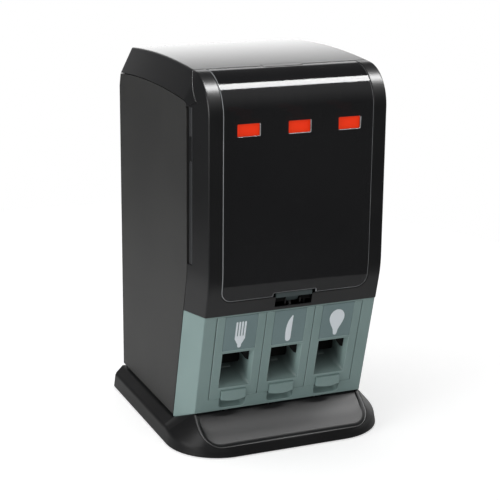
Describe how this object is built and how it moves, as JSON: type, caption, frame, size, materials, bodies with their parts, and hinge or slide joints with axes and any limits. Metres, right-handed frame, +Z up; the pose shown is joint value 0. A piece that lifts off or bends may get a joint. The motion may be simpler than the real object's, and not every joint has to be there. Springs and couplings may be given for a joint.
{
  "type": "cutlery dispenser",
  "caption": "Countertop cutlery dispenser: lift-up smoked door, gravity columns, push-down lever tabs below, chute windows, level flags and a wide dished base.",
  "frame": {"origin": "centre of the footprint on the surface it stands on", "axes": "+Z up, -Y towards the user, +X to the right as seen by the user"},
  "size_m": [0.275, 0.2799, 0.4589],
  "materials": {
    "charcoal_base": "satin charcoal moulding",
    "steel": "zinc-plated steel",
    "foot_rubber": "matt",
    "inner_plastic": "matt moulding",
    "side_plastic": "fine textured",
    "cover_black": "satin black",
    "door_gloss": "smoked high gloss",
    "grey_green": "satin grey-green",
    "label_blue": "smooth",
    "symbol_white": "printed",
    "flag_red": "bright signal colour",
    "lens_clear": "clear",
    "latch_grey": "satin"
  },
  "bodies": {
    "housing": {"base": "charcoal_base", "ballast_plate": "steel", "feet": "foot_rubber", "base_screws": "steel", "chassis": "inner_plastic", "left_side_panel": "side_plastic", "right_side_panel": "side_plastic", "back_panel": "cover_black", "back_screws": "steel", "roof_cap": "cover_black", "front_frame": "cover_black", "lower_bezel": "grey_green", "tower_front_1": "grey_green", "tower_front_2": "grey_green", "tower_front_3": "grey_green", "label_plate_1": "label_blue", "label_plate_2": "label_blue", "label_plate_3": "label_blue", "fork_symbol": "symbol_white", "knife_symbol": "symbol_white", "spoon_symbol": "symbol_white", "chute_1": "grey_green", "chute_2": "grey_green", "chute_3": "grey_green", "magazine_1": "inner_plastic", "magazine_2": "inner_plastic", "magazine_3": "inner_plastic", "lever_shaft": "steel", "shaft_clips": "steel", "lever_spring_1": "steel", "lever_spring_2": "steel", "lever_spring_3": "steel", "door_hinge_pin": "steel", "hinge_bracket": "cover_black", "latch_bracket": "steel", "latch_spring": "steel"},
    "door": {"door": "door_gloss", "door_inner_panel": "inner_plastic", "sight_lenses": "lens_clear", "flag_shaft": "steel"},
    "latch": {"latch": "latch_grey"},
    "follower_1": {"follower_1": "cover_black"},
    "lever_1": {"lever_1": "grey_green"},
    "feed_slide_1": {"feed_slide_1": "cover_black"},
    "flag_1": {"flag_1": "flag_red"},
    "follower_2": {"follower_2": "cover_black"},
    "lever_2": {"lever_2": "grey_green"},
    "feed_slide_2": {"feed_slide_2": "cover_black"},
    "flag_2": {"flag_2": "flag_red"},
    "follower_3": {"follower_3": "cover_black"},
    "lever_3": {"lever_3": "grey_green"},
    "feed_slide_3": {"feed_slide_3": "cover_black"},
    "flag_3": {"flag_3": "flag_red"}
  },
  "joints": [
    {"name": "door_lift", "type": "hinge", "parent": "housing", "child": "door", "pos_m": [0, -0.0917, 0.45359], "axis": [-1, 0, 0], "range_deg": [0, 90]},
    {"name": "latch_press", "type": "slide", "parent": "housing", "child": "latch", "axis": [0, 0, -1], "range_m": [0, 0.0035], "stiffness_N_per_m": 400, "springref_m": -0.003, "deforming": ["latch_spring"]},
    {"name": "lever_press_1", "type": "hinge", "parent": "housing", "child": "lever_1", "pos_m": [-0.06233, -0.05275, 0.064], "axis": [1, 0, 0], "range_deg": [0, 10], "stiffness_Nm_per_rad": 0.6, "springref_deg": -5.73, "deforming": ["lever_spring_1"]},
    {"name": "feed_stroke_1", "type": "slide", "parent": "housing", "child": "feed_slide_1", "axis": [0, -1, 0], "range_m": [0, 0.0116]},
    {"name": "follower_lift_1", "type": "slide", "parent": "housing", "child": "follower_1", "axis": [0, 0, 1], "range_m": [0, 0.25]},
    {"name": "flag_swing_1", "type": "hinge", "parent": "door", "child": "flag_1", "pos_m": [-0.06233, -0.12575, 0.4118], "axis": [1, 0, 0], "range_deg": [0, 25]},
    {"name": "lever_press_2", "type": "hinge", "parent": "housing", "child": "lever_2", "pos_m": [0, -0.05275, 0.064], "axis": [1, 0, 0], "range_deg": [0, 10], "stiffness_Nm_per_rad": 0.6, "springref_deg": -5.73, "deforming": ["lever_spring_2"]},
    {"name": "feed_stroke_2", "type": "slide", "parent": "housing", "child": "feed_slide_2", "axis": [0, -1, 0], "range_m": [0, 0.0116]},
    {"name": "follower_lift_2", "type": "slide", "parent": "housing", "child": "follower_2", "axis": [0, 0, 1], "range_m": [0, 0.25]},
    {"name": "flag_swing_2", "type": "hinge", "parent": "door", "child": "flag_2", "pos_m": [0, -0.12575, 0.4118], "axis": [1, 0, 0], "range_deg": [0, 25]},
    {"name": "lever_press_3", "type": "hinge", "parent": "housing", "child": "lever_3", "pos_m": [0.06233, -0.05275, 0.064], "axis": [1, 0, 0], "range_deg": [0, 10], "stiffness_Nm_per_rad": 0.6, "springref_deg": -5.73, "deforming": ["lever_spring_3"]},
    {"name": "feed_stroke_3", "type": "slide", "parent": "housing", "child": "feed_slide_3", "axis": [0, -1, 0], "range_m": [0, 0.0116]},
    {"name": "follower_lift_3", "type": "slide", "parent": "housing", "child": "follower_3", "axis": [0, 0, 1], "range_m": [0, 0.25]},
    {"name": "flag_swing_3", "type": "hinge", "parent": "door", "child": "flag_3", "pos_m": [0.06233, -0.12575, 0.4118], "axis": [1, 0, 0], "range_deg": [0, 25]}
  ],
  "couplings": [
    {"joint": "feed_stroke_1", "follows": "lever_press_1", "m_per_rad": 0.06625},
    {"joint": "feed_stroke_2", "follows": "lever_press_2", "m_per_rad": 0.06625},
    {"joint": "feed_stroke_3", "follows": "lever_press_3", "m_per_rad": 0.06625}
  ]
}
